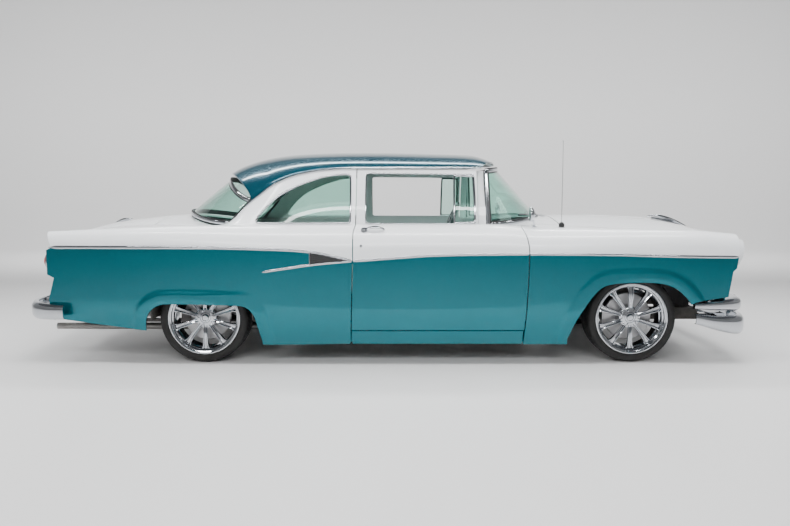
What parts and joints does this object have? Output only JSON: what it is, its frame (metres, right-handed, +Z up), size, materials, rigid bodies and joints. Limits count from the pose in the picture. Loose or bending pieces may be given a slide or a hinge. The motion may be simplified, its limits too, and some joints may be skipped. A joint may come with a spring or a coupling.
{
  "type": "1950s two-door sedan",
  "caption": "Lowered two-door sedan of the mid-1950s with a hollow cabin, opening doors, hood and trunk, steered front wheels and four rolling wheels.",
  "frame": {"origin": "on the ground under the middle of the whole car's box", "axes": "+X to the front of the car, +Y to its left side, +Z up"},
  "size_m": [5.0412, 1.929, 1.5209],
  "materials": {
    "aluminised_steel": "satin",
    "bare_steel": "bare",
    "bright_chrome": "polished",
    "dash_paint": "dark teal paint",
    "grey_iron": "painted",
    "red_lens": "translucent red",
    "roof_paint": "metallic blue-teal paint",
    "seat_vinyl": "pale grey vinyl",
    "teal_paint": "metallic teal paint",
    "tinted_glass": "green tint",
    "tyre_rubber": "black",
    "underbody_paint": "satin black paint",
    "wheel_plastic": "dark",
    "white_paint": "gloss white paint"
  },
  "bodies": {
    "body": {"chassis_frame": "underbody_paint", "floor_pan": "underbody_paint", "cowl": "white_paint", "roof": "roof_paint", "rear_deck": "white_paint", "tail_panel": "teal_paint", "nose_panel": "white_paint", "rocker_panels": "teal_paint", "front_fender_right": "white_paint", "front_fender_left": "white_paint", "quarter_panel_right": "teal_paint", "quarter_panel_left": "teal_paint", "inner_fenders": "underbody_paint", "wheelhouses": "underbody_paint", "windshield": "tinted_glass", "rear_window": "tinted_glass", "quarter_glass": "tinted_glass", "front_bumper": "bright_chrome", "rear_bumper": "bright_chrome", "grille": "bright_chrome", "parking_lights": "bright_chrome", "headlights": "bright_chrome", "taillights": "red_lens", "dashboard": "dash_paint", "front_seat": "seat_vinyl", "rear_seat": "seat_vinyl", "front_suspension": "underbody_paint", "rear_axle": "underbody_paint", "engine": "grey_iron", "driveline": "bare_steel", "exhaust": "aluminised_steel", "fuel_tank": "underbody_paint", "antenna": "bright_chrome"},
    "hood": {"hood": "white_paint"},
    "trunk_lid": {"trunk_lid": "white_paint"},
    "door_right": {"door_right": "teal_paint", "vent_window_right": "tinted_glass"},
    "door_left": {"door_left": "teal_paint", "vent_window_left": "tinted_glass"},
    "steering_wheel": {"steering_wheel": "wheel_plastic"},
    "knuckle_right": {"knuckle_right": "grey_iron"},
    "knuckle_left": {"knuckle_left": "grey_iron"},
    "wheel_front_right": {"wheel_front_right": "bright_chrome", "tyre_front_right": "tyre_rubber"},
    "wheel_front_left": {"wheel_front_left": "bright_chrome", "tyre_front_left": "tyre_rubber"},
    "wheel_rear_right": {"wheel_rear_right": "bright_chrome", "tyre_rear_right": "tyre_rubber"},
    "wheel_rear_left": {"wheel_rear_left": "bright_chrome", "tyre_rear_left": "tyre_rubber"}
  },
  "joints": [
    {"name": "hood_hinge", "type": "hinge", "parent": "body", "child": "hood", "pos_m": [1.213, 0, 0.995], "axis": [0, -1, 0], "range_deg": [0, 50]},
    {"name": "trunk_hinge", "type": "hinge", "parent": "body", "child": "trunk_lid", "pos_m": [-1.652, 0, 0.998], "axis": [0, 1, 0], "range_deg": [0, 65]},
    {"name": "right_door_hinge", "type": "hinge", "parent": "body", "child": "door_right", "pos_m": [0.937, -0.96, 0.6], "axis": [0, 0, 1], "range_deg": [0, 62]},
    {"name": "left_door_hinge", "type": "hinge", "parent": "body", "child": "door_left", "pos_m": [0.937, 0.96, 0.6], "axis": [0, 0, -1], "range_deg": [0, 62]},
    {"name": "steer_left", "type": "hinge", "parent": "body", "child": "knuckle_left", "pos_m": [1.675, 0.64, 0.306], "axis": [0, 0, 1], "range_deg": [-30, 30]},
    {"name": "steer_right", "type": "hinge", "parent": "body", "child": "knuckle_right", "pos_m": [1.675, -0.64, 0.306], "axis": [0, 0, 1], "range_deg": [-30, 30]},
    {"name": "steering_wheel_turn", "type": "hinge", "parent": "body", "child": "steering_wheel", "pos_m": [0.52, 0.37, 0.894], "axis": [-0.9135, 0, 0.4067], "range_deg": [-480, 480]},
    {"name": "wheel_spin_front_left", "type": "hinge", "parent": "knuckle_left", "child": "wheel_front_left", "pos_m": [1.675, 0.735, 0.306], "axis": [0, 1, 0], "continuous": true},
    {"name": "wheel_spin_front_right", "type": "hinge", "parent": "knuckle_right", "child": "wheel_front_right", "pos_m": [1.675, -0.735, 0.306], "axis": [0, 1, 0], "continuous": true},
    {"name": "wheel_spin_rear_left", "type": "hinge", "parent": "body", "child": "wheel_rear_left", "pos_m": [-1.259, 0.743, 0.306], "axis": [0, 1, 0], "continuous": true},
    {"name": "wheel_spin_rear_right", "type": "hinge", "parent": "body", "child": "wheel_rear_right", "pos_m": [-1.259, -0.743, 0.306], "axis": [0, 1, 0], "continuous": true}
  ],
  "couplings": [
    {"joint": "steer_right", "follows": "steer_left", "ratio": 1},
    {"joint": "steering_wheel_turn", "follows": "steer_left", "ratio": 16}
  ]
}
